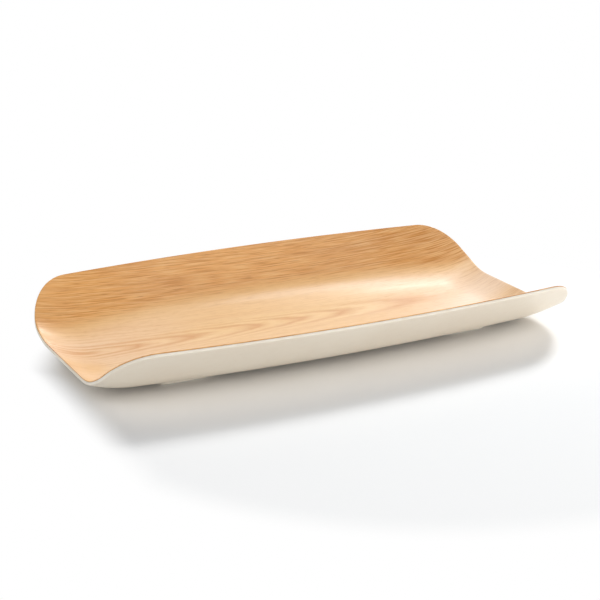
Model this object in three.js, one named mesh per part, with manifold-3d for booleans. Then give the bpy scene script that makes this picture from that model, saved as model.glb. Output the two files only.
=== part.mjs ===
// Rectangular serving tray: a shallow trough with two raised long sides and two open, slightly lifted ends.
// A thin oak face is bonded into a moulded cream shell, which stands on four soft feet.
// Millimetres, +Z up. The origin is under the middle of the tray, on the surface that it stands on.
// The length runs along X, and the front is the side towards -Y.

import * as THREE from "three";
import { mergeVertices } from "three/addons/utils/BufferGeometryUtils.js";
import Module from "manifold-3d";

// Outline of the oak face seen from above, with bowed sides, straight ends and round corners
const FACE_LENGTH = 400;
const FACE_WIDTH = 223.2;
const SIDE_BOW = 14;
const CORNER_RADIUS = 41;

// Section of the oak face: a flat base, a round bend and a straight slope on each long side
const SIDE_HEIGHT = 42.3;
const BEND_RADIUS = 58.4;
const WALL_ANGLE = THREE.MathUtils.degToRad(42.6);

// The last stretch of the base curves up towards each end
const END_LIFT = 9;
const END_LIFT_LENGTH = 35;

// Thickness of the oak face, of the glue under it and under the feet, and of the shell
const FACE_THICKNESS = 0.7;
const GLUE_LINE = 0.1;
const SHELL_THICKNESS = 2.2;
const RIM_ROUND = 1.1;

// Oblong feet, each let into a pocket of the underside, at a distance from the end of the oak face
// and a little outside the line where the flat base starts to bend
const FOOT_LENGTH = 42;
const FOOT_WIDTH = 12;
const FOOT_HEIGHT = 3;
const FOOT_ROUND = 0.7;
const FOOT_FROM_END = 77.5;
const FOOT_PAST_BASE = 1.7;
const POCKET_DEPTH = 0.9;
const POCKET_CLEARANCE = 0.3;

// Fineness of the faceted surfaces
const WALL_ROWS = 12;
const BASE_ROWS = 2;
const COLUMNS = 24;
const END_CROWDING = 0.8;
const ROUND_STEPS = 3;
const FOOT_ARC_STEPS = 8;
const SLOPE_STEP = 0.01;
const HALVINGS = 50;

const oak = { color: 0xd8a468, roughness: 0.42, metalness: 0 };
const cream = { color: 0xe4dccb, roughness: 0.5, metalness: 0 };
const softFoot = { color: 0xe9e3d5, roughness: 0.75, metalness: 0 };

const halfLength = FACE_LENGTH / 2;
const halfWidth = FACE_WIDTH / 2;
const shellTopDepth = FACE_THICKNESS + GLUE_LINE;
const trayThickness = shellTopDepth + SHELL_THICKNESS;
const baseHeight = FOOT_HEIGHT + trayThickness;
const quarterTurn = Math.PI / 2;

// One quarter of the outline, moved inwards by inset: a bowed side, a straight end and the arc between.
function outlineQuarter(inset) {
  const bowRadius = (halfLength ** 2 + SIDE_BOW ** 2) / (2 * SIDE_BOW);
  const side = { centreY: halfWidth - bowRadius, radius: bowRadius - inset };
  const end = halfLength - inset;
  const radius = CORNER_RADIUS - inset;
  const centre = new THREE.Vector2(end - radius, 0);
  centre.y = side.centreY + Math.sqrt((side.radius - radius) ** 2 - centre.x ** 2);
  const onSide = new THREE.Vector2(centre.x, centre.y - side.centreY).setLength(side.radius);
  onSide.y += side.centreY;
  return { side, end, corner: { centre, radius }, onSide };
}

// Half the width of the bowed outline at x, as if it had no round corners.
function sideAt(x, quarter) {
  return quarter.side.centreY + Math.sqrt(quarter.side.radius ** 2 - x ** 2);
}

// Half the length of the outline at a distance y from the centre line.
function endAt(y, quarter) {
  const { end, corner, onSide } = quarter;
  if (y >= onSide.y) return onSide.x;
  if (y <= corner.centre.y) return end;
  return corner.centre.x + Math.sqrt(corner.radius ** 2 - (y - corner.centre.y) ** 2);
}

const fullOutline = outlineQuarter(0);

// How far the base has curved up at x.
function liftAt(x) {
  const past = Math.max(Math.abs(x) - (halfLength - END_LIFT_LENGTH), 0);
  return END_LIFT * (past / END_LIFT_LENGTH) ** 2;
}

// The width, seen from above, of a side that climbs by rise.
function wallRun(rise) {
  const bendRise = BEND_RADIUS * (1 - Math.cos(WALL_ANGLE));
  return BEND_RADIUS * Math.sin(WALL_ANGLE) + (rise - bendRise) / Math.tan(WALL_ANGLE);
}

// Half the width of the flat base at x. The rim stays level, so the sides narrow where the base lifts.
function baseAt(x) {
  return sideAt(x, fullOutline) - wallRun(SIDE_HEIGHT - liftAt(x));
}

// Height of the oak face's upper surface.
function faceHeight(x, y) {
  const outside = Math.max(Math.abs(y) - baseAt(x), 0);
  const inBend = Math.min(outside, BEND_RADIUS * Math.sin(WALL_ANGLE));
  const bendRise = BEND_RADIUS - Math.sqrt(BEND_RADIUS ** 2 - inBend ** 2);
  return baseHeight + liftAt(x) + bendRise + (outside - inBend) * Math.tan(WALL_ANGLE);
}

// The point that lies depth below the oak face's upper surface, measured square to that surface.
function pointBelowFace(x, y, depth) {
  const slopeX = (faceHeight(x + SLOPE_STEP, y) - faceHeight(x - SLOPE_STEP, y)) / (2 * SLOPE_STEP);
  const slopeY = (faceHeight(x, y + SLOPE_STEP) - faceHeight(x, y - SLOPE_STEP)) / (2 * SLOPE_STEP);
  const normal = new THREE.Vector3(-slopeX, -slopeY, 1).normalize();
  return new THREE.Vector3(x, y, faceHeight(x, y)).addScaledVector(normal, -depth);
}

// Place across the tray of the row with share 0 at the centre line and 1 at the rim, at x along it.
// The rows close up towards the rim, where the outline turns away from the side.
function rowAt(share, x, quarter) {
  const baseShare = BASE_ROWS / (BASE_ROWS + WALL_ROWS);
  const edge = sideAt(x, quarter);
  const run = wallRun(SIDE_HEIGHT);
  if (share < baseShare) return (edge - run) * (share / baseShare);
  const fromRim = (1 - share) / (1 - baseShare);
  return edge - run * (1 - Math.cos(fromRim * quarterTurn));
}

// Where a row meets the end of the outline.
function rowEnd(share, quarter) {
  let low = 0;
  let high = halfLength;
  for (let i = 0; i < HALVINGS; i += 1) {
    const middle = (low + high) / 2;
    const inside = middle < endAt(rowAt(share, middle, quarter), quarter);
    if (inside) low = middle;
    else high = middle;
  }
  return (low + high) / 2;
}

// A sheet of rows and columns that follows the trough at one depth, trimmed to the outline less an inset.
function sheetPoints(inset, depth) {
  const quarter = outlineQuarter(inset);
  const sideRows = BASE_ROWS + WALL_ROWS;
  const rows = [];
  for (let i = -sideRows; i <= sideRows; i += 1) {
    const share = Math.abs(i) / sideRows;
    const reach = rowEnd(share, quarter);
    const row = [];
    for (let j = 0; j <= COLUMNS; j += 1) {
      const along = (2 * j) / COLUMNS - 1;
      const crowded = Math.sin(along * END_CROWDING * quarterTurn) / Math.sin(END_CROWDING * quarterTurn);
      const x = reach * crowded;
      row.push(pointBelowFace(x, Math.sign(i) * rowAt(share, x, quarter), depth));
    }
    rows.push(row);
  }
  return rows;
}

// The edge of a sheet as one loop, anticlockwise seen from above.
function sheetEdge(rows) {
  const last = rows.length - 1;
  const front = rows[0].slice(0, COLUMNS);
  const right = rows.slice(0, last).map((row) => row[COLUMNS]);
  const rear = rows[last].slice(1).reverse();
  const left = rows.slice(1).reverse().map((row) => row[0]);
  return [...front, ...right, ...rear, ...left];
}

// A closed solid between an upper and a lower sheet, whose edge runs down through the given loops.
function solidBetween(upper, edgeLoops, lower) {
  const numbers = new Map();
  const positions = [];
  const triangles = [];
  const numberOf = (point) => {
    if (!numbers.has(point)) {
      numbers.set(point, numbers.size);
      positions.push(point.x, point.y, point.z);
    }
    return numbers.get(point);
  };
  const addTriangle = (...corners) => triangles.push(...corners.map(numberOf));
  const addQuad = (a, b, c, d) => {
    if (a.distanceTo(c) < b.distanceTo(d)) {
      addTriangle(a, b, c);
      addTriangle(a, c, d);
    } else {
      addTriangle(a, b, d);
      addTriangle(b, c, d);
    }
  };
  for (let i = 0; i + 1 < upper.length; i += 1) {
    for (let j = 0; j < COLUMNS; j += 1) {
      addQuad(upper[i][j], upper[i][j + 1], upper[i + 1][j + 1], upper[i + 1][j]);
      addQuad(lower[i + 1][j], lower[i + 1][j + 1], lower[i][j + 1], lower[i][j]);
    }
  }
  const loops = [sheetEdge(upper), ...edgeLoops, sheetEdge(lower)];
  for (let k = 0; k + 1 < loops.length; k += 1) {
    loops[k].forEach((point, i) => {
      const next = (i + 1) % loops[k].length;
      addQuad(loops[k + 1][i], loops[k + 1][next], loops[k][next], point);
    });
  }
  const geometry = new THREE.BufferGeometry();
  geometry.setAttribute("position", new THREE.Float32BufferAttribute(positions, 3));
  geometry.setIndex(triangles);
  return geometry;
}

function oakFaceGeometry() {
  return solidBetween(sheetPoints(0, 0), [], sheetPoints(0, FACE_THICKNESS));
}

// The shell before its pockets are cut. Its rim is square to the slope and rounded over to the outside.
function shellBlankGeometry() {
  const loops = [];
  for (let k = 0; k < ROUND_STEPS; k += 1) {
    const turn = (k / ROUND_STEPS) * quarterTurn;
    const inset = RIM_ROUND * (1 - Math.cos(turn));
    const depth = trayThickness - RIM_ROUND * (1 - Math.sin(turn));
    loops.push(sheetEdge(sheetPoints(inset, depth)));
  }
  return solidBetween(sheetPoints(0, shellTopDepth), loops, sheetPoints(RIM_ROUND, trayThickness));
}

// An oblong with half-round ends.
function oblong(length, width) {
  const radius = width / 2;
  const reach = length / 2 - radius;
  const shape = new THREE.Shape();
  shape.absarc(reach, 0, radius, -quarterTurn, quarterTurn);
  shape.absarc(-reach, 0, radius, quarterTurn, 3 * quarterTurn);
  return shape;
}

// A soft foot with rounded edges, standing on z = 0, whose top is glued to the floor of its pocket.
function footGeometry() {
  const height = FOOT_HEIGHT + POCKET_DEPTH - GLUE_LINE;
  const geometry = new THREE.ExtrudeGeometry(oblong(FOOT_LENGTH, FOOT_WIDTH), {
    depth: height - 2 * FOOT_ROUND,
    curveSegments: FOOT_ARC_STEPS,
    bevelThickness: FOOT_ROUND,
    bevelSize: FOOT_ROUND,
    bevelOffset: -FOOT_ROUND,
    bevelSegments: ROUND_STEPS,
  });
  return geometry.translate(0, 0, FOOT_ROUND);
}

// What is cut from the shell for one foot: from the surface below the tray up to the pocket's floor.
function pocketGeometry() {
  const grown = oblong(FOOT_LENGTH + 2 * POCKET_CLEARANCE, FOOT_WIDTH + 2 * POCKET_CLEARANCE);
  return new THREE.ExtrudeGeometry(grown, {
    depth: FOOT_HEIGHT + POCKET_DEPTH,
    curveSegments: FOOT_ARC_STEPS,
    bevelEnabled: false,
  });
}

const wasm = await Module();
wasm.setup();

function toSolid(geometry) {
  const bare = geometry.clone();
  bare.deleteAttribute("normal");
  bare.deleteAttribute("uv");
  const merged = mergeVertices(bare);
  const mesh = new wasm.Mesh({
    numProp: 3,
    vertProperties: merged.getAttribute("position").array,
    triVerts: new Uint32Array(merged.index.array),
  });
  return new wasm.Manifold(mesh);
}

function toGeometry(solid) {
  const mesh = solid.getMesh();
  const geometry = new THREE.BufferGeometry();
  geometry.setAttribute("position", new THREE.BufferAttribute(mesh.vertProperties, 3));
  geometry.setIndex(new THREE.BufferAttribute(mesh.triVerts, 1));
  return geometry;
}

function footPlaces() {
  const x = halfLength - FOOT_FROM_END;
  const y = baseAt(x) + FOOT_PAST_BASE;
  return [
    { name: "foot_front_left", x: -x, y: -y },
    { name: "foot_front_right", x, y: -y },
    { name: "foot_rear_left", x: -x, y },
    { name: "foot_rear_right", x, y },
  ];
}

function shellGeometry() {
  let shell = toSolid(shellBlankGeometry());
  for (const place of footPlaces()) {
    const pocket = pocketGeometry().translate(place.x, place.y, 0);
    shell = shell.subtract(toSolid(pocket));
  }
  return toGeometry(shell);
}

function namedMesh(name, geometry, finish) {
  geometry.computeVertexNormals();
  const mesh = new THREE.Mesh(geometry, new THREE.MeshStandardMaterial(finish));
  mesh.name = name;
  return mesh;
}

const tray = new THREE.Group();
tray.name = "serving_tray";
tray.add(namedMesh("outer_shell", shellGeometry(), cream));
tray.add(namedMesh("oak_face", oakFaceGeometry(), oak));
for (const place of footPlaces()) {
  const foot = namedMesh(place.name, footGeometry(), softFoot);
  foot.position.set(place.x, place.y, 0);
  tray.add(foot);
}

export default tray;
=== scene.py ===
"""Looks of a rectangular serving tray.

A thin oak face is formed to a shallow trough with two raised long sides and two open, lifted ends.
It is bonded into a moulded cream shell, which stands on four soft feet let into its underside.
Metres, +X along the tray, +Z up, the front towards -Y.
"""

import logging
import math
from dataclasses import dataclass
from enum import Enum
from functools import lru_cache

import bpy
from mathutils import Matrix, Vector


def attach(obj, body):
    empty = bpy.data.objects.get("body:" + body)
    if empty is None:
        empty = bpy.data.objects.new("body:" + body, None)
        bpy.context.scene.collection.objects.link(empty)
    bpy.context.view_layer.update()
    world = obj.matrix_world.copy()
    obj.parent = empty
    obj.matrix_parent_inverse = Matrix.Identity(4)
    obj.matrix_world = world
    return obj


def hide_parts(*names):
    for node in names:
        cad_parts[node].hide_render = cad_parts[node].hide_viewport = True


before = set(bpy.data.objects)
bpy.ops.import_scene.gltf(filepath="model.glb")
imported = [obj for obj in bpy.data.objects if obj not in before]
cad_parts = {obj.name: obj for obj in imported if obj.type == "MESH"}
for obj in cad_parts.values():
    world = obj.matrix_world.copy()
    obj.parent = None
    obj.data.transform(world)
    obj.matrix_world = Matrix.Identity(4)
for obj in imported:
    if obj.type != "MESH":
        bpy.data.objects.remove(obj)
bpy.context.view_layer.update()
log = logging.getLogger("serving_tray")

BODY = "root"
MILLIMETRES = 1000.0
BLACK = (0.0, 0.0, 0.0, 1.0)
WHITE = (1.0, 1.0, 1.0, 1.0)

Colour = tuple[float, float, float, float]
Pair = tuple[float, float]
Range = Pair


class Slot(Enum):
    """The material slots of the record."""

    OAK = "oak"
    CREAM = "cream_shell"
    FOOT = "soft_foot"


class Corner(Enum):
    """The four feet by name, with the side of the tray that each is on along X and Y."""

    FRONT_LEFT = ("foot_front_left", -1, -1)
    FRONT_RIGHT = ("foot_front_right", 1, -1)
    REAR_LEFT = ("foot_rear_left", -1, 1)
    REAR_RIGHT = ("foot_rear_right", 1, 1)

    @property
    def node(self) -> str:
        """The name of the foot's node."""
        return self.value[0]

    def at(self, along: float, across: float) -> Vector:
        """The foot's place for distances from the middle of the tray."""
        return Vector((self.value[1] * along, self.value[2] * across, 0.0))


class Note(Enum):
    """What is noted on the points of a sheet while it is formed."""

    ALONG = "along"
    ACROSS = "across"
    LOOP = "loop"
    # How much paler rim colour a point takes: wear and a painted highlight.
    WEAR = "rim_wear"


class Ray(Enum):
    """The kinds of ray that see the white background."""

    CAMERA = "Is Camera Ray"
    GLOSSY = "Is Glossy Ray"
    TRANSMISSION = "Is Transmission Ray"


def linear(red: int, green: int, blue: int) -> Colour:
    """Turns a screen colour into the linear colour that a shader takes.

    Args:
        red: Red, from 0 to 255.
        green: Green, from 0 to 255.
        blue: Blue, from 0 to 255.

    Returns:
        The linear colour with full opacity.
    """
    shares = [channel / 255 for channel in (red, green, blue)]
    curve = [share / 12.92 if share < 0.04045 else ((share + 0.055) / 1.055) ** 2.4 for share in shares]
    return (*curve, 1.0)


class Value:
    """A node's output that takes part in Python expressions.

    Args:
        bench: The bench that the node is on.
        socket: The output socket.
    """

    def __init__(self, bench: "Bench", socket: bpy.types.NodeSocket) -> None:
        self.bench = bench
        self.socket = socket

    def math(self, operation: str, *others: "Value | float") -> "Value":
        """Adds a Math node whose first value is this one.

        Args:
            operation: The Math node's operation.
            others: The further values.

        Returns:
            The node's output.
        """
        inputs = dict(enumerate((self, *others)))
        return self.bench.node("ShaderNodeMath", {"operation": operation}, inputs)

    def __add__(self, other: "Value | float") -> "Value":
        """This value plus another."""
        return self.math("ADD", other)

    __radd__ = __add__

    def __mul__(self, other: "Value | float") -> "Value":
        """This value times another."""
        return self.math("MULTIPLY", other)

    __rmul__ = __mul__

    def __sub__(self, other: "Value | float") -> "Value":
        """This value less another."""
        return self.math("SUBTRACT", other)

    def __rsub__(self, other: float) -> "Value":
        """A number less this value."""
        return (self * -1.0) + other

    def __truediv__(self, other: "Value | float") -> "Value":
        """This value divided by another."""
        return self.math("DIVIDE", other)

    def __rtruediv__(self, other: float) -> "Value":
        """A number divided by this value."""
        return self ** -1.0 * other

    def __pow__(self, power: float) -> "Value":
        """This value to a power."""
        return self.math("POWER", power)

    def __rpow__(self, base: float) -> "Value":
        """A positive number to the power of this value."""
        return (self * math.log(base)).math("EXPONENT")

    def rise(self, low: float, high: float) -> "Value":
        """A smooth step from 0 at low to 1 at high."""
        settings = {"interpolation_type": "SMOOTHSTEP"}
        inputs = {"Value": self, "From Min": low, "From Max": high}
        return self.bench.node("ShaderNodeMapRange", settings, inputs)


class Bench:
    """Lays out the nodes of one material or world.

    Args:
        tree: The node tree to add to.
    """

    # A Mix node has sockets of the same name for each kind of data, so its colours go by number.
    mix_share, mix_first, mix_second, mix_colour = 0, 6, 7, 2

    def __init__(self, tree: bpy.types.NodeTree) -> None:
        self.tree = tree

    def node(self, kind: str, settings: dict | None = None, inputs: dict | None = None,
             output: int | str = 0) -> Value:
        """Adds a node.

        Args:
            kind: The node's type.
            settings: The node's own settings, and under "stops" the places and colours of a ramp.
            inputs: Values, colours or outputs of other nodes by the socket's name or number.
            output: The name or number of the output that is returned.

        Returns:
            The chosen output.
        """
        node = self.tree.nodes.new(kind)
        for name, setting in (settings or {}).items():
            if name == "stops":
                self.set_stops(node.color_ramp, setting)
            else:
                setattr(node, name, setting)
        for name, value in (inputs or {}).items():
            self.feed(node.inputs[name], value)
        return Value(self, node.outputs[output])

    def feed(self, socket: bpy.types.NodeSocket, value: object) -> None:
        """Links an output to a socket, or sets the socket to a plain value."""
        if isinstance(value, Value):
            self.tree.links.new(value.socket, socket)
        else:
            socket.default_value = value

    @staticmethod
    def set_stops(ramp: bpy.types.ColorRamp, stops: list[tuple[float, tuple]]) -> None:
        """Sets the place and the colour of each stop of a ramp, which has two to begin with."""
        while len(ramp.elements) < len(stops):
            ramp.elements.new(1.0)
        for element, (place, colour) in zip(ramp.elements, stops):
            element.position = place
            element.color = colour

    def parts(self, vector: Value) -> tuple[Value, Value, Value]:
        """The three coordinates of a vector."""
        split = self.node("ShaderNodeSeparateXYZ", inputs={"Vector": vector})
        return tuple(Value(self, output) for output in split.socket.node.outputs)

    def here(self) -> Value:
        """The place on the object."""
        return self.node("ShaderNodeTexCoord", output="Object")

    def place(self, x: "Value | float", y: "Value | float", z: "Value | float") -> Value:
        """A vector from three coordinates."""
        return self.node("ShaderNodeCombineXYZ", inputs={"X": x, "Y": y, "Z": z})

    def noise(self, at: Value, scale: float = 1.0, detail: float = 2.0, roughness: float = 0.5) -> Value:
        """Smooth noise between 0 and 1.

        Args:
            at: Where the noise is read.
            scale: How many features there are for each unit.
            detail: How many finer octaves are added.
            roughness: How strong the finer octaves are.

        Returns:
            The noise.
        """
        inputs = {"Vector": at, "Scale": scale, "Detail": detail, "Roughness": roughness}
        return self.node("ShaderNodeTexNoise", inputs=inputs)

    def blend(self, share: "Value | float", first: object, second: object) -> Value:
        """Blends two colours.

        Args:
            share: How much of the second colour there is.
            first: The first colour.
            second: The second colour.

        Returns:
            The blended colour.
        """
        node = self.node("ShaderNodeMix", {"data_type": "RGBA"}).socket.node
        self.feed(node.inputs[self.mix_share], share)
        self.feed(node.inputs[self.mix_first], first)
        self.feed(node.inputs[self.mix_second], second)
        return Value(self, node.outputs[self.mix_colour])

    def bump(self, height: Value, depth: float, strength: float) -> Value:
        """A normal that stands for a fine relief of some depth in metres and strength."""
        inputs = {"Height": height, "Distance": depth, "Strength": strength}
        return self.node("ShaderNodeBump", inputs=inputs)

    def seen(self) -> Value:
        """1 for the rays that show the background, 0 for those that light the object."""
        paths = self.node("ShaderNodeLightPath").socket.node.outputs
        camera, glossy, transmission = (Value(self, paths[ray.value]) for ray in Ray)
        return camera.math("MAXIMUM", glossy).math("MAXIMUM", transmission)


class MaterialBench(Bench):
    """A bench for a new material.

    Args:
        name: The material's name.
    """

    def __init__(self, name: str) -> None:
        self.material = bpy.data.materials.new(name)
        self.material.use_nodes = True
        super().__init__(self.material.node_tree)

    def surface(self, **inputs: object) -> bpy.types.Material:
        """Feeds the layered surface shader.

        Args:
            inputs: Values or outputs by the socket's name, with _ for a space.

        Returns:
            The finished material.
        """
        shader = self.tree.nodes["Principled BSDF"]
        for name, value in inputs.items():
            self.feed(shader.inputs[name.replace("_", " ")], value)
        return self.material


@dataclass(frozen=True)
class GrainNoise:
    """A noise drawn out along the grain, in millimetres, with a layer of its own.

    It leads a line aside within its reach, or makes marks that come to show between two tones.
    """

    length: float
    width: float
    layer: float = 0.0
    detail: float = 2.0
    roughness: float = 0.5
    reach: float = 0.0
    shows: Range = (0.0, 1.0)

    def read(self, bench: Bench, along: Value, across: Value) -> Value:
        """The noise at a place on the board, between 0 and 1."""
        at = bench.place(along / self.length, across / self.width, self.layer)
        return bench.noise(at, detail=self.detail, roughness=self.roughness)

    def sway(self, bench: Bench, along: Value, across: Value) -> Value:
        """How far a line is led aside at a place on the board."""
        return (self.read(bench, along, across) - 0.5) * self.reach

    def marks(self, bench: Bench, along: Value, across: Value) -> Value:
        """How strongly a mark shows at a place on the board, from 0 to 1."""
        return self.read(bench, along, across).rise(*self.shows)


@dataclass(frozen=True)
class Board:
    """Where a point of the face lies on the board, as values of its material.

    Attributes:
        bench: The bench that the values are on.
        along: The place along the board.
        across: The place across the board.
        grain: The place across, led aside by the drift of the grain.
        off_heart: The distance from the heart line.
        straight: 1 on the straight-grained sides, 0 on the heart.
        coarse: How coarse the grain is, from 0 to 1.
    """

    bench: Bench
    along: Value
    across: Value
    grain: Value
    off_heart: Value
    straight: Value
    coarse: Value


@dataclass(frozen=True)
class LacqueredOak:
    """Plain-sawn oak under a satin lacquer, with a flame figure along the heart line of the board.

    The heart is pale and the sides amber with straight grain and pores. The change from pale to amber
    over the bends is partly the board's figure and partly painted light: the base and bends are painted
    paler, as if lit, and the walls darker. The ends and the right of the base are painted paler and
    whiter as painted sheen, and the ends of the walls are paler.
    All lengths are in millimetres on the unrolled face. A range is where a change starts and ends.
    """

    pale: Colour = linear(246, 208, 151)
    honey: Colour = linear(231, 180, 111)
    amber: Colour = linear(226, 163, 86)
    tan: Colour = linear(200, 140, 75)
    # Whitish pale tone for the painted sheen on the base and the paler wall ends.
    pale_and_sheen: Colour = linear(246, 210, 173)
    blush: Colour = linear(208, 141, 80)
    brown: Colour = linear(182, 114, 26)
    pore: Colour = linear(152, 88, 14)
    heart_line: float = 29.0
    heart_depth: float = 22.8
    heart_slope: float = 0.083
    flame_rings: tuple = (8.2, 12.0, 15.8, 20.6, 23.8, 27.0, 32.2)
    ring_margin: float = 1.15
    flame_sharpness: float = 1.5
    flame_tips: Range = (5.0, 22.0)
    tip_fading: float = 0.8
    arch_middle: float = 8.0
    arch_radius: float = 1750.0
    front_share: float = 0.38
    front_spread: Range = (-62.0, -30.0)
    front_wall: Range = (-85.0, -45.0)
    front_coarseness: float = 0.6
    honey_from_heart: Range = (8.0, 34.0)
    straight_from_heart: Range = (51.0, 65.0)
    tan_along: Range = (0.0, 190.0)
    lines_along: Range = (-190.0, 60.0)
    # Where the painted sheen on the base and the paler wall ends lie.
    sheen_from_middle: Range = (40.0, 180.0)
    sheen_until_off_heart: Range = (32.0, 62.0)
    sheen_right_base_along: Range = (80.0, 170.0)
    paler_left_wall: Range = (-110.0, -185.0)
    paler_right_wall: Range = (125.0, 180.0)
    rubbed_from_middle: Range = (95.0, 162.0)
    rubbed_across: Range = (36.0, 50.0)
    rubbed_share: float = 0.75
    flame_share: float = 0.78
    fleck_share: float = 0.14
    pore_share: float = 0.45
    ring_wander: GrainNoise = GrainNoise(150.0, 46.0, reach=7.0)
    ring_ripple: GrainNoise = GrainNoise(22.0, 7.0, 4.0, detail=3.0, reach=2.6)
    grain_drift: GrainNoise = GrainNoise(240.0, 60.0, 9.0, detail=1.0, reach=9.0)
    heart_wander: GrainNoise = GrainNoise(80.0, 30.0, 21.0, reach=9.0)
    streaks: GrainNoise = GrainNoise(170.0, 4.2, 2.0, shows=(0.4, 0.68))
    fine_lines: GrainNoise = GrainNoise(30.0, 1.0, 7.0, roughness=0.55)
    line_tones: Range = (0.5, 0.66)
    gap_tones: Range = (0.34, 0.5)
    dashes: GrainNoise = GrainNoise(16.0, 0.8, 11.0, shows=(0.56, 0.7))
    clusters: GrainNoise = GrainNoise(60.0, 3.0, 13.0, shows=(0.4, 0.65))
    clouds: GrainNoise = GrainNoise(110.0, 30.0, 17.0, shows=(0.3, 0.7))
    flecks: GrainNoise = GrainNoise(8.0, 2.4, 23.0, shows=(0.45, 0.75))
    relief: Pair = (0.00004, 0.5)
    roughness: float = 0.4
    specular: float = 0.25
    coat_roughness: float = 0.21
    uv_map: str = "grain"

    def board(self, bench: Bench) -> Board:
        """Places the points of the face on the board."""
        u, v, _ = bench.parts(bench.node("ShaderNodeUVMap", {"uv_map": self.uv_map}))
        along = u * MILLIMETRES
        across = v * MILLIMETRES
        grain = across + self.grain_drift.sway(bench, along, across)
        off_heart = self.off_heart(bench, along, across)
        straight = off_heart.rise(*self.straight_from_heart)
        front = 1.0 - across.rise(*self.front_wall)
        coarse = straight + front * (1.0 - straight) * self.front_coarseness
        return Board(bench, along, across, grain, off_heart, straight, coarse)

    def off_heart(self, bench: Bench, along: Value, across: Value) -> Value:
        """The distance from the heart line, which grows towards the ends so that the heart is arched.

        Args:
            bench: The bench to add nodes to.
            along: The place along the board.
            across: The place across the board.

        Returns:
            The distance, which grows more slowly towards the front.
        """
        from_middle = along - self.arch_middle
        arch = from_middle * from_middle / self.arch_radius
        side = across - self.heart_line
        spread = side.rise(*self.front_spread) * (1.0 - self.front_share) + self.front_share
        return side.math("ABSOLUTE") * spread + arch + self.heart_wander.sway(bench, along, across)

    def rings(self, board: Board) -> Value:
        """The distance from the heart of the log, whose contours are the growth rings."""
        wander = self.ring_wander.sway(board.bench, board.along, board.across)
        ripple = self.ring_ripple.sway(board.bench, board.along, board.across)
        off_line = (board.across - self.heart_line) + wander
        depth = board.along * self.heart_slope + self.heart_depth
        return (off_line * off_line + depth * depth) ** 0.5 + ripple

    def flames(self, board: Board) -> Value:
        """The dark rings that show as nested flames, 1 on a ring and 0 between two of them.

        Args:
            board: Where the point lies.

        Returns:
            How dark the figure is.
        """
        span = self.flame_rings[-1] * self.ring_margin
        stops = []
        for inner, outer in zip((0.0, *self.flame_rings), self.flame_rings):
            stops.append(((inner + outer) / 2 / span, BLACK))
            stops.append((outer / span, WHITE))
        stops.append((1.0, BLACK))
        inputs = {"Fac": self.rings(board) / span}
        ramp = board.bench.node("ShaderNodeValToRGB", {"stops": stops}, inputs)
        from_line = (board.across - self.heart_line).math("ABSOLUTE")
        tips = from_line.rise(*self.flame_tips)
        return ramp ** self.flame_sharpness * (1.0 - tips * self.tip_fading)

    def pores(self, board: Board) -> Value:
        """The short dark pores, from 0 to 1, which lie in clusters and are densest in coarse grain."""
        dash = self.dashes.marks(board.bench, board.along, board.grain)
        cluster = self.clusters.marks(board.bench, board.along, board.grain)
        return dash * (cluster * 0.5 + 0.5) * (board.coarse * 0.7 + 0.3)

    def ground(self, board: Board, cloud: Value) -> Value:
        """The colour under the figure: a pale heart and amber sides that partly paint light, painted
        sheen and paler wall ends.

        Args:
            board: Where the point lies.
            cloud: A slow change of tone over the board.

        Returns:
            The colour.
        """
        bench, along, off_heart, straight = board.bench, board.along, board.off_heart, board.straight
        streak = self.streaks.marks(bench, along, board.grain)
        to_honey = cloud * 0.2 + off_heart.rise(*self.honey_from_heart) * 0.8
        to_tan = cloud * 0.2 + streak * 0.3 + along.rise(*self.tan_along) * 0.5
        # Partly figure, partly painted light: the base and bends are painted paler than the walls, as if
        # lit.
        heart = bench.blend(to_honey, self.pale, self.honey)
        sides = bench.blend(to_tan, self.amber, self.tan)
        # Painted sheen: the ends of the base and its right half are painted whiter and paler in place of
        # the lacquer's sheen, and the ends of the walls are painted paler.
        ends = along.math("ABSOLUTE").rise(*self.sheen_from_middle)
        sheen_heart_ends = ends * (1.0 - off_heart.rise(*self.sheen_until_off_heart))
        sheen_right_base = along.rise(*self.sheen_right_base_along) * (1.0 - straight)
        walls = along.rise(*self.paler_left_wall) + along.rise(*self.paler_right_wall) * 1.2
        paling_and_sheen = sheen_heart_ends * 0.8 + sheen_right_base * 0.22 + walls * straight * 0.1
        return bench.blend(paling_and_sheen, bench.blend(straight, heart, sides), self.pale_and_sheen)

    def lacquer(self, board: Board) -> Value:
        """The weight of the lacquer, which hands have rubbed thinner towards the ends of the walls."""
        near_end = board.along.math("ABSOLUTE").rise(*self.rubbed_from_middle)
        on_wall = board.across.math("ABSOLUTE").rise(*self.rubbed_across)
        return 1.0 - near_end * on_wall * self.rubbed_share

    def material(self) -> bpy.types.Material:
        """Makes the material of the face."""
        bench = MaterialBench("lacquered_oak")
        board = self.board(bench)
        along, grain, coarse = board.along, board.grain, board.coarse
        on_heart = 1.0 - board.straight
        cloud = self.clouds.marks(bench, along, board.across)
        line = self.fine_lines.read(bench, along, grain)
        lines = line.rise(*self.line_tones) * (along.rise(*self.lines_along) * 0.35 + 0.7)
        gaps = 1.0 - line.rise(*self.gap_tones)
        fleck = self.flecks.marks(bench, along, grain)
        pores = self.pores(board)
        flame = self.flames(board) * on_heart
        flamed = bench.blend(flame * self.flame_share, self.ground(board, cloud), self.blush)
        gapped = bench.blend(gaps * (coarse * 0.3 + 0.08), flamed, self.pale)
        flecked = bench.blend(fleck * on_heart * self.fleck_share, gapped, self.brown)
        lined = bench.blend(lines * (coarse * 0.52 + 0.18), flecked, self.brown)
        colour = bench.blend(pores * self.pore_share, lined, self.pore)
        roughness = pores * 0.1 + lines * 0.04 + cloud * 0.04 + self.roughness
        normal = bench.bump((lines * 0.3 + pores) * -1.0, *self.relief)
        return bench.surface(Base_Color=colour, Roughness=roughness, Normal=normal,
                             Coat_Weight=self.lacquer(board), Coat_Roughness=self.coat_roughness,
                             Specular_IOR_Level=self.specular)


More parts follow.
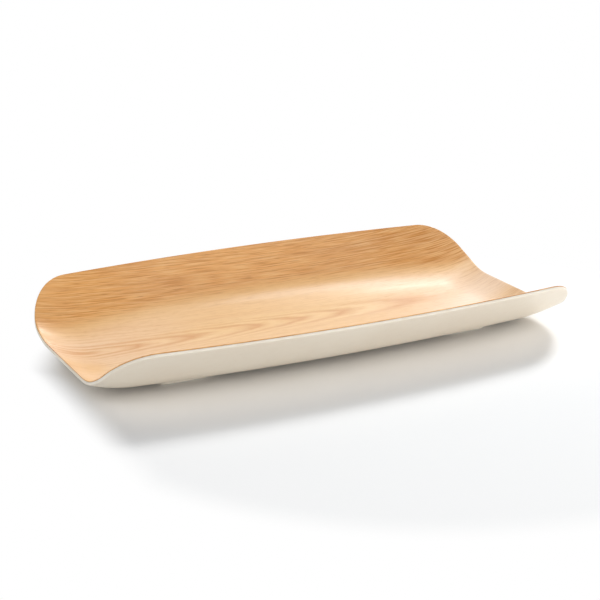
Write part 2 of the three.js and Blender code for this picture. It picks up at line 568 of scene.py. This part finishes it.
@dataclass(frozen=True)
class MouldedCream:
    """Smooth satin moulded cream, paler and more polished along its rim: the paler colour there is
    handling wear and a painted highlight on the rim edge.
    """

    cream: Colour = linear(240, 230, 213)
    warm: Colour = linear(235, 222, 203)
    # Paler rim colour: handling wear and a painted highlight on the rim edge.
    worn_and_highlight: Colour = linear(246, 240, 227)
    flow_scale: float = 14.0
    wear_scale: float = 90.0
    mottle_scale: float = 210.0
    grain_scale: float = 2600.0
    relief: Pair = (0.00003, 0.4)
    roughness: float = 0.3

    def material(self) -> bpy.types.Material:
        """Makes the material of the shell."""
        bench = MaterialBench("moulded_cream")
        here = bench.here()
        flow = bench.noise(here, self.flow_scale, 3.0)
        mottle = bench.noise(here, self.mottle_scale, 3.0, 0.6)
        grain = bench.noise(here, self.grain_scale)
        # The paler rim is partly wear and partly a painted highlight.
        wear = bench.node("ShaderNodeAttribute", {"attribute_name": Note.WEAR.value}, output="Fac")
        rubbed = wear * bench.noise(here, self.wear_scale).rise(0.35, 0.7)
        to_warm = flow.rise(0.3, 0.7) * 0.6 + mottle.rise(0.45, 0.7) * 0.2
        colour = bench.blend(rubbed * 0.6, bench.blend(to_warm, self.cream, self.warm), self.worn_and_highlight)
        roughness = (mottle * 0.1 + flow * 0.06 + self.roughness) - rubbed * 0.1
        normal = bench.bump(grain * 0.6 + mottle * 0.4, *self.relief)
        return bench.surface(Base_Color=colour, Roughness=roughness, Normal=normal)


@dataclass(frozen=True)
class SoftRubber:
    """Matte cream rubber with a fine speckle and a little dust rubbed into the sole."""

    cream: Colour = linear(248, 241, 227)
    speckle: Colour = linear(236, 227, 210)
    dust: Colour = linear(188, 178, 162)
    fleck_scale: float = 900.0
    cloud_scale: float = 130.0
    sole_height: Range = (0.0001, 0.0004)
    relief: Pair = (0.00006, 0.6)
    roughness: float = 0.68

    def material(self) -> bpy.types.Material:
        """Makes the material of the feet."""
        bench = MaterialBench("soft_rubber")
        here = bench.here()
        height = bench.parts(here)[2]
        fleck = bench.noise(here, self.fleck_scale)
        cloud = bench.noise(here, self.cloud_scale, 3.0)
        sole = (1.0 - height.rise(*self.sole_height)) * cloud.rise(0.35, 0.65)
        body = bench.blend(fleck.rise(0.5, 0.75), self.cream, self.speckle)
        colour = bench.blend(sole * 0.5, body, self.dust)
        roughness = cloud * 0.12 + self.roughness
        normal = bench.bump(fleck, *self.relief)
        return bench.surface(Base_Color=colour, Roughness=roughness, Normal=normal)


@dataclass(frozen=True)
class Outline:
    """One quarter of the tray's outline, seen from above."""

    side_centre: float
    side_radius: float
    end: float
    corner: Vector
    corner_radius: float
    side_meets_corner: Vector

    def side(self, x: float) -> float:
        """Half the width of the bowed outline at x, as if it had no round corners."""
        return self.side_centre + math.sqrt(self.side_radius ** 2 - x ** 2)

    def reach(self, y: float) -> float:
        """Half the length of the outline at a distance y from the centre line."""
        if y >= self.side_meets_corner.y:
            return self.side_meets_corner.x
        if y <= self.corner.y:
            return self.end
        return self.corner.x + math.sqrt(self.corner_radius ** 2 - (y - self.corner.y) ** 2)


@dataclass(frozen=True)
class Trough:
    """The upper surface of the oak face: a flat base, round bends, sloping sides and lifted ends."""

    length: float = 0.400
    width: float = 0.2232
    side_bow: float = 0.014
    corner_radius: float = 0.041
    side_height: float = 0.0423
    bend_radius: float = 0.0584
    wall_angle: float = math.radians(42.6)
    end_lift: float = 0.009
    end_lift_length: float = 0.035
    base_height: float = 0.006
    base_share: float = 0.15
    end_crowding: float = 0.8
    slope_step: float = 0.00001
    halvings: int = 45
    share_digits: int = 6

    @lru_cache(maxsize=None)
    def outline(self, inset: float) -> Outline:
        """The quarter outline moved inwards by an inset."""
        half = self.length / 2
        bow_radius = (half ** 2 + self.side_bow ** 2) / (2 * self.side_bow)
        centre = self.width / 2 - bow_radius
        side_radius = bow_radius - inset
        corner_radius = self.corner_radius - inset
        corner_x = half - self.corner_radius
        corner_y = centre + math.sqrt((side_radius - corner_radius) ** 2 - corner_x ** 2)
        meets = Vector((corner_x, corner_y - centre)).normalized() * side_radius
        meets.y += centre
        corner = Vector((corner_x, corner_y))
        return Outline(centre, side_radius, half - inset, corner, corner_radius, meets)

    @property
    def bend_run(self) -> float:
        """The width of a bend, seen from above."""
        return self.bend_radius * math.sin(self.wall_angle)

    def lift(self, x: float) -> float:
        """How far the base has curved up at x."""
        past = max(abs(x) - (self.length / 2 - self.end_lift_length), 0.0)
        return self.end_lift * (past / self.end_lift_length) ** 2

    def wall_run(self, rise: float) -> float:
        """The width, seen from above, of a side that climbs by a rise."""
        bend_rise = self.bend_radius * (1 - math.cos(self.wall_angle))
        return self.bend_run + (rise - bend_rise) / math.tan(self.wall_angle)

    def base(self, x: float) -> float:
        """Half the width of the flat base at x."""
        return self.outline(0.0).side(x) - self.wall_run(self.side_height - self.lift(x))

    def height(self, x: float, y: float) -> float:
        """Height of the surface."""
        outside = max(abs(y) - self.base(x), 0.0)
        in_bend = min(outside, self.bend_run)
        bend_rise = self.bend_radius - math.sqrt(self.bend_radius ** 2 - in_bend ** 2)
        wall_rise = (outside - in_bend) * math.tan(self.wall_angle)
        return self.base_height + self.lift(x) + bend_rise + wall_rise

    def unrolled(self, x: float, y: float) -> float:
        """Distance from the centre line measured along the surface."""
        base = self.base(x)
        outside = max(abs(y) - base, 0.0)
        in_bend = min(outside, self.bend_run)
        arc = self.bend_radius * math.asin(in_bend / self.bend_radius)
        slope = (outside - in_bend) / math.cos(self.wall_angle)
        return math.copysign(min(abs(y), base) + arc + slope, y)

    def below(self, x: float, y: float, depth: float) -> Vector:
        """The point that lies a depth under the surface, measured square to it."""
        step = self.slope_step
        slope_x = (self.height(x + step, y) - self.height(x - step, y)) / (2 * step)
        slope_y = (self.height(x, y + step) - self.height(x, y - step)) / (2 * step)
        return Vector((x, y, self.height(x, y))) - Vector((-slope_x, -slope_y, 1.0)).normalized() * depth

    def row(self, share: float, x: float, outline: Outline) -> float:
        """Place across of a row at x, where share is 0 on the centre line and 1 on the rim."""
        edge = outline.side(x)
        run = self.wall_run(self.side_height)
        if share < self.base_share:
            return (edge - run) * share / self.base_share
        from_rim = (1 - share) / (1 - self.base_share)
        return edge - run * (1 - math.cos(from_rim * math.pi / 2))

    @lru_cache(maxsize=None)
    def row_end(self, share: float, inset: float) -> float:
        """Where a row meets the end of the outline."""
        outline = self.outline(inset)
        low, high = 0.0, self.length / 2
        for _ in range(self.halvings):
            middle = (low + high) / 2
            if middle < outline.reach(self.row(share, middle, outline)):
                low = middle
            else:
                high = middle
        return (low + high) / 2

    def place(self, along: float, across: float, inset: float, depth: float) -> Vector:
        """Lays one point of a square grid on the trough.

        Args:
            along: Place on the grid's rows, from -1 to 1.
            across: Place over the grid's rows, from -1 to 1.
            inset: How far the outline is moved inwards.
            depth: How far the point lies under the oak face's upper surface.

        Returns:
            The point on the tray.
        """
        share = round(abs(across), self.share_digits)
        turn = self.end_crowding * math.pi / 2
        x = self.row_end(share, inset) * (math.sin(along * turn) / math.sin(turn))
        y = math.copysign(self.row(share, x, self.outline(inset)), across)
        return self.below(x, y, depth)


def start_piece(name: str) -> bpy.types.Object:
    """Names the object that was just added and its mesh."""
    piece = bpy.context.active_object
    piece.name = name
    piece.data.name = name
    return piece


def select_only(piece: bpy.types.Object) -> None:
    """Selects one piece alone and makes it active."""
    bpy.ops.object.select_all(action="DESELECT")
    piece.select_set(True)
    bpy.context.view_layer.objects.active = piece


def clear_selection(kind: str) -> None:
    """Sets the kind of element to select in the active mesh, and leaves none selected."""
    bpy.ops.object.mode_set(mode="EDIT")
    bpy.ops.mesh.select_mode(type=kind)
    bpy.ops.mesh.select_all(action="DESELECT")
    bpy.ops.object.mode_set(mode="OBJECT")


def smooth(piece: bpy.types.Object, angle: float) -> None:
    """Shades a piece smooth up to an angle in degrees."""
    select_only(piece)
    bpy.ops.object.shade_smooth_by_angle(angle=math.radians(angle))


def mount(piece: bpy.types.Object, node: str) -> None:
    """Fixes a piece to the tray in place of a node and reports it.

    Args:
        piece: The finished piece.
        node: The node that it stands for.
    """
    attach(piece, BODY)
    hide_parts(node)
    log.info("%s: %d faces, for %s", piece.name, len(piece.data.polygons), node)


@dataclass(frozen=True)
class RimLoop:
    """One loop of a rim: how far it is inside the outline, how deep under the face, and how much paler
    rim colour, wear and painted highlight, it takes.
    """

    inset: float
    depth: float
    wear: float = 0.0


@dataclass
class FormedSheet:
    """A sheet formed to the trough: an upper face, a rim pulled down from its edge, and a lower face."""

    name: str
    trough: Trough
    loops: list[RimLoop]
    columns: int = 120
    rows: int = 112
    merge_distance: float = 0.0000005
    border: float = 0.99995

    def build(self) -> bpy.types.Object:
        """Models the sheet as one closed piece."""
        bpy.ops.mesh.primitive_grid_add(x_subdivisions=self.columns, y_subdivisions=self.rows, size=2.0)
        piece = start_piece(self.name)
        self.note_places(piece.data)
        self.lay(piece.data, self.loops[0])
        self.add_lower_face(piece.data)
        self.pull_rim(piece.data)
        bpy.ops.object.mode_set(mode="EDIT")
        bpy.ops.mesh.select_all(action="SELECT")
        bpy.ops.mesh.remove_doubles(threshold=self.merge_distance)
        bpy.ops.mesh.normals_make_consistent(inside=False)
        bpy.ops.object.mode_set(mode="OBJECT")
        self.drop_notes(piece.data)
        return piece

    @staticmethod
    def note_places(mesh: bpy.types.Mesh) -> None:
        """Keeps each point's place on the square grid, which later copies of it inherit."""
        places = [tuple(vertex.co) for vertex in mesh.vertices]
        for axis, note in enumerate((Note.ALONG, Note.ACROSS)):
            layer = mesh.attributes.new(note.value, "FLOAT", "POINT")
            layer.data.foreach_set("value", [place[axis] for place in places])
        for note in (Note.LOOP, Note.WEAR):
            mesh.attributes.new(note.value, "FLOAT", "POINT")

    def lay(self, mesh: bpy.types.Mesh, loop: RimLoop, mark: float = 0.0) -> None:
        """Lays the selected points on the trough.

        Args:
            mesh: The mesh, in object mode.
            loop: The inset, the depth and the share of paler rim colour, wear and painted highlight, of
                the points.
            mark: The number that tells these points from the others.
        """
        along, across, marks, wear = (mesh.attributes[note.value].data for note in Note)
        for vertex in mesh.vertices:
            if vertex.select:
                at = vertex.index
                vertex.co = self.trough.place(along[at].value, across[at].value, loop.inset, loop.depth)
                marks[at].value = mark
                wear[at].value = loop.wear

    def add_lower_face(self, mesh: bpy.types.Mesh) -> None:
        """Copies the upper face and lays the copy at the depth of the last loop, facing down."""
        bpy.ops.object.mode_set(mode="EDIT")
        bpy.ops.mesh.select_all(action="SELECT")
        bpy.ops.mesh.duplicate()
        bpy.ops.mesh.flip_normals()
        bpy.ops.object.mode_set(mode="OBJECT")
        self.lay(mesh, self.loops[-1], mark=-1.0)

    def pull_rim(self, mesh: bpy.types.Mesh) -> None:
        """Extrudes the edge of the upper face down through the loops to the lower face."""
        self.select_upper_edge(mesh)
        for number, loop in enumerate(self.loops[1:], start=1):
            bpy.ops.object.mode_set(mode="EDIT")
            bpy.ops.mesh.extrude_edges_move()
            bpy.ops.object.mode_set(mode="OBJECT")
            self.lay(mesh, loop, mark=float(number))

    def select_upper_edge(self, mesh: bpy.types.Mesh) -> None:
        """Selects the edges whose middle is on the border of the upper face."""
        clear_selection("EDGE")
        loop = mesh.attributes[Note.LOOP.value].data
        layers = [mesh.attributes[note.value].data for note in (Note.ALONG, Note.ACROSS)]
        for edge in mesh.edges:
            first, second = edge.vertices
            middles = [abs(layer[first].value + layer[second].value) / 2 for layer in layers]
            upper = loop[first].value == 0.0 and loop[second].value == 0.0
            edge.select = upper and max(middles) > self.border

    @staticmethod
    def drop_notes(mesh: bpy.types.Mesh) -> None:
        """Drops the notes that only the forming needs."""
        for note in (Note.ALONG, Note.ACROSS, Note.LOOP):
            mesh.attributes.remove(mesh.attributes[note.value])


@dataclass
class OakFace:
    """The thin oak face, with a hair of rounding along its sanded upper edge."""

    trough: Trough
    thickness: float = 0.0007
    edge_round: float = 0.00016
    smooth_angle: float = 50.0
    node: str = "oak_face"

    def loops(self) -> list[RimLoop]:
        """The rim from the upper face over the rounded edge to the lower face."""
        near = self.edge_round * (1 - math.sqrt(0.5))
        return [RimLoop(self.edge_round, 0.0), RimLoop(near, near), RimLoop(0.0, self.edge_round),
                RimLoop(0.0, self.thickness)]

    def build(self) -> bpy.types.Object:
        """Models the face and unrolls its grain."""
        piece = FormedSheet("oak_sheet", self.trough, self.loops()).build()
        self.unroll(piece.data)
        smooth(piece, self.smooth_angle)
        return piece

    def unroll(self, mesh: bpy.types.Mesh) -> None:
        """Gives the face a UV map in metres, along the tray and across it over the bends."""
        layer = mesh.uv_layers.new(name=LacqueredOak.uv_map)
        flat = [(point.co.x, self.trough.unrolled(point.co.x, point.co.y)) for point in mesh.vertices]
        for loop in mesh.loops:
            layer.uv[loop.index].vector = flat[loop.vertex_index]

    def dress(self, piece: bpy.types.Object) -> None:
        """Lacquers the face and its edge."""
        piece.data.materials.append(LacqueredOak().material())
        mount(piece, self.node)


@dataclass
class SoftFeet:
    """Four oblong soft feet, each let into a pocket of the shell, with a grooved sole."""

    length: float = 0.042
    width: float = 0.012
    height: float = 0.003
    pocket_depth: float = 0.0009
    glue_line: float = 0.0001
    clearance: float = 0.0003
    edge_round: float = 0.0007
    from_middle_along: float = 0.1225
    from_middle_across: float = 0.0393
    groove_depth: float = 0.0003
    groove_margin: float = 0.0010
    groove_side: float = 0.0003
    groove_floor: float = 0.0004
    sides: int = 64
    round_steps: int = 5
    off_middle: float = 0.00001
    cap_normal: float = 0.99
    smooth_angle: float = 35.0

    def oblong(self, name: str, grow: float, low: float, high: float) -> bpy.types.Object:
        """Models an upright block with half-round ends.

        Args:
            name: The block's name.
            grow: How far it stands out beyond the foot all round.
            low: The height of its lower face.
            high: The height of its upper face.

        Returns:
            The block, on the middle of the tray.
        """
        bpy.ops.mesh.primitive_cylinder_add(vertices=self.sides, radius=self.width / 2 + grow,
                                            depth=high - low, location=(0.0, 0.0, (low + high) / 2))
        block = start_piece(name)
        bpy.ops.object.transform_apply(location=True)
        reach = (self.length - self.width) / 2
        for side in (-1.0, 1.0):
            clear_selection("VERT")
            for vertex in block.data.vertices:
                vertex.select = vertex.co.x * side > self.off_middle
            bpy.ops.object.mode_set(mode="EDIT")
            bpy.ops.transform.translate(value=(side * reach, 0.0, 0.0))
        bpy.ops.object.mode_set(mode="OBJECT")
        return block

    def select_caps(self, block: bpy.types.Object, ways: tuple[int, ...]) -> None:
        """Selects the flat faces that look up, way 1, or down, way -1, and enters edit mode."""
        clear_selection("FACE")
        for face in block.data.polygons:
            face.select = any(face.normal.z * way > self.cap_normal for way in ways)
        bpy.ops.object.mode_set(mode="EDIT")

    def build(self) -> list[bpy.types.Object]:
        """Models one foot, rounds it, grooves its sole and copies it for the four corners."""
        top = self.height + self.pocket_depth - self.glue_line
        foot = self.oblong("soft_foot", 0.0, 0.0, top)
        self.select_caps(foot, (-1, 1))
        bpy.ops.mesh.region_to_loop()
        bpy.ops.mesh.bevel(offset=self.edge_round, segments=self.round_steps)
        self.select_caps(foot, (-1,))
        bpy.ops.mesh.inset(thickness=self.groove_margin)
        bpy.ops.mesh.inset(thickness=self.groove_side, depth=-self.groove_depth)
        bpy.ops.mesh.inset(thickness=self.groove_floor)
        bpy.ops.mesh.inset(thickness=self.groove_side, depth=self.groove_depth)
        bpy.ops.object.mode_set(mode="OBJECT")
        smooth(foot, self.smooth_angle)
        return [self.copy_for(foot, corner) for corner in Corner]

    @staticmethod
    def copy_for(foot: bpy.types.Object, corner: Corner) -> bpy.types.Object:
        """Gives a corner its own copy of the foot, and the first corner the foot itself."""
        if corner is Corner.FRONT_LEFT:
            copy = foot
        else:
            copy = foot.copy()
            copy.data = foot.data.copy()
            bpy.context.collection.objects.link(copy)
        copy.name = "soft_" + corner.node
        return copy

    def set_in_place(self, feet: list[bpy.types.Object]) -> None:
        """Moves each foot to its corner."""
        for foot, corner in zip(feet, Corner):
            select_only(foot)
            self.move_to(corner)

    def move_to(self, corner: Corner) -> None:
        """Moves the selected block to a corner, within its own mesh."""
        bpy.ops.transform.translate(value=corner.at(self.from_middle_along, self.from_middle_across))
        bpy.ops.object.transform_apply(location=True)

    def pocket_cutters(self) -> list[bpy.types.Object]:
        """Models what is cut from the shell for each foot."""
        cutters = []
        for corner in Corner:
            cutter = self.oblong("pocket_cutter", self.clearance, 0.0, self.height + self.pocket_depth)
            self.move_to(corner)
            cutters.append(cutter)
        return cutters

    def dress(self, feet: list[bpy.types.Object]) -> None:
        """Gives the feet their rubber."""
        rubber = SoftRubber().material()
        for foot, corner in zip(feet, Corner):
            foot.data.materials.append(rubber)
            mount(foot, corner.node)


@dataclass
class CreamShell:
    """The moulded shell under the oak face, with a rounded outer rim and a pocket for each foot."""

    trough: Trough
    feet: SoftFeet
    top_depth: float = 0.0008
    thickness: float = 0.0022
    rim_round: float = 0.0011
    lip_round: float = 0.00015
    round_steps: int = 8
    lip_wear_and_highlight: float = 0.6
    smooth_angle: float = 40.0
    node: str = "outer_shell"

    def loops(self) -> list[RimLoop]:
        """The rim from the glued upper face over the land and the rounding to the underside."""
        bottom = self.top_depth + self.thickness
        # The third number is the share of paler rim colour, wear and a painted highlight, which peaks on
        # the rim's rounding.
        loops = [RimLoop(self.lip_round, self.top_depth, self.lip_wear_and_highlight),
                 RimLoop(0.0, self.top_depth + self.lip_round, 1.0)]
        for step in range(self.round_steps + 1):
            turn = step / self.round_steps * math.pi / 2
            inset = self.rim_round * (1 - math.cos(turn))
            depth = bottom - self.rim_round * (1 - math.sin(turn))
            loops.append(RimLoop(inset, depth, 1.0 - step / self.round_steps))
        return loops

    def build(self) -> bpy.types.Object:
        """Models the shell and cuts its pockets."""
        piece = FormedSheet("cream_shell", self.trough, self.loops()).build()
        for cutter in self.feet.pocket_cutters():
            self.cut_pocket(piece, cutter)
        smooth(piece, self.smooth_angle)
        return piece

    @staticmethod
    def cut_pocket(piece: bpy.types.Object, cutter: bpy.types.Object) -> None:
        """Cuts one pocket from the shell and takes the cutter away."""
        cut = piece.modifiers.new("pocket", "BOOLEAN")
        cut.object = cutter
        cut.operation = "DIFFERENCE"
        cut.solver = "EXACT"
        bpy.context.view_layer.objects.active = piece
        bpy.ops.object.modifier_apply(modifier=cut.name)
        bpy.data.objects.remove(cutter)

    def dress(self, piece: bpy.types.Object) -> None:
        """Gives the whole shell one moulded finish."""
        piece.data.materials.append(MouldedCream().material())
        mount(piece, self.node)


@dataclass(frozen=True)
class SoftBox:
    """A soft box that faces the tray: its name, place, width and height, power in watts, and colour."""

    name: str
    place: tuple[float, float, float]
    size: Pair
    power: float
    colour: tuple = (1.0, 1.0, 1.0)

    def hang(self) -> None:
        """Hangs the box."""
        lamp = bpy.data.lights.new(self.name, "AREA")
        lamp.shape = "RECTANGLE"
        lamp.size, lamp.size_y = self.size
        lamp.energy = self.power
        lamp.color = self.colour
        box = bpy.data.objects.new(self.name, lamp)
        box.location = self.place
        box.rotation_euler = (-Vector(self.place)).to_track_quat("-Z", "Y").to_euler()
        bpy.context.collection.objects.link(box)


@dataclass
class Studio:
    """A pale floor under a soft sky, soft boxes around and above the tray, and the camera."""

    floor_size: float = 12.0
    floor_colour: Colour = linear(248, 248, 248)
    shadow_middle: tuple = (0.05, -0.09, 0.0)
    white_from: Range = (0.262, 0.298)
    # Left of this the floor is painted white over the tray's cast shadow.
    shadow_painted_out_left_of: Range = (-0.193, -0.222)
    sky_light: float = 0.26
    boxes: tuple = (
        SoftBox("key_box", (2.06, 1.47, 2.00), (0.60, 0.85), 72.0),
        SoftBox("sheen_box", (0.39, 0.20, 0.62), (0.15, 0.30), 0.62, (0.72, 0.89, 1.0)),
        SoftBox("back_panel", (0.89, 2.20, 0.60), (2.60, 1.00), 4.5),
        SoftBox("left_box", (-1.40, -0.90, 1.10), (2.40, 1.80), 13.5),
        SoftBox("front_box", (0.40, -1.42, 1.42), (1.50, 0.80), 5.4),
        SoftBox("front_strip", (0.90, -1.00, 0.13), (1.60, 0.20), 6.4),
    )
    camera_azimuth: float = math.radians(-27.0)
    camera_elevation: float = math.radians(18.22)
    camera_distance: float = 1.23276
    camera_offset: Pair = (-0.00321, 0.02476)
    camera_base: float = 0.006
    lens: float = 92.5
    sensor_width: float = 36.0

    def build(self) -> None:
        """Sets up the floor, the light and the camera."""
        bpy.context.scene.view_settings.view_transform = "Standard"
        self.add_floor()
        self.add_sky()
        for box in self.boxes:
            box.hang()
        self.add_camera()

    def add_floor(self) -> None:
        """Lays the floor, which keeps the tray's shadow and looks white beyond it. Left of the tray's
        left end the white paints out part of the cast shadow.
        """
        bpy.ops.mesh.primitive_plane_add(size=self.floor_size)
        floor = start_piece("pale_floor")
        bench = MaterialBench("pale_floor")
        bench.tree.nodes.remove(bench.tree.nodes["Principled BSDF"])
        here = bench.here()
        distance = bench.node("ShaderNodeVectorMath", {"operation": "DISTANCE"},
                              {0: here, 1: self.shadow_middle}, "Value")
        matte = bench.node("ShaderNodeBsdfDiffuse", inputs={"Color": self.floor_colour})
        white = bench.node("ShaderNodeEmission", inputs={"Color": WHITE})
        # Painted light: left of the tray's left end the floor is painted white over the cast shadow.
        shadow_painted_out = bench.parts(here)[0].rise(*self.shadow_painted_out_left_of)
        share = bench.seen() * distance.rise(*self.white_from).math("MAXIMUM", shadow_painted_out)
        surface = bench.node("ShaderNodeMixShader", inputs={0: share, 1: matte, 2: white})
        bench.feed(bench.tree.nodes["Material Output"].inputs["Surface"], surface)
        floor.data.materials.append(bench.material)

    def add_sky(self) -> None:
        """Gives the scene an even soft light from a sky that looks plain white."""
        world = bpy.data.worlds.new("soft_sky")
        world.use_nodes = True
        bpy.context.scene.world = world
        bench = Bench(world.node_tree)
        strength = bench.seen() * (1.0 - self.sky_light) + self.sky_light
        background = bench.tree.nodes["Background"]
        bench.feed(background.inputs["Color"], WHITE)
        bench.feed(background.inputs["Strength"], strength)

    def add_camera(self) -> None:
        """Places the camera at the photograph's viewing angle."""
        azimuth, elevation = self.camera_azimuth, self.camera_elevation
        back = Vector((math.sin(azimuth) * math.cos(elevation), -math.cos(azimuth) * math.cos(elevation),
                       math.sin(elevation)))
        right = Vector((math.cos(azimuth), math.sin(azimuth), 0.0))
        up = back.cross(right)
        data = bpy.data.cameras.new("camera")
        data.sensor_width = self.sensor_width
        data.lens = self.lens
        camera = bpy.data.objects.new("camera", data)
        shift = right * self.camera_offset[0] + up * self.camera_offset[1]
        camera.location = shift + back * self.camera_distance + Vector((0.0, 0.0, self.camera_base))
        camera.rotation_euler = (-back).to_track_quat("-Z", "Y").to_euler()
        bpy.context.collection.objects.link(camera)
        bpy.context.scene.camera = camera


def main() -> None:
    """Builds the tray piece by piece, then the studio around it."""
    logging.basicConfig(level=logging.INFO, format="%(name)s: %(message)s")
    trough = Trough()
    face = OakFace(trough)
    face.dress(face.build())
    feet = SoftFeet()
    shell = CreamShell(trough, feet)
    shell.dress(shell.build())
    blocks = feet.build()
    feet.set_in_place(blocks)
    feet.dress(blocks)
    Studio().build()


if __name__ == "__main__":
    main()
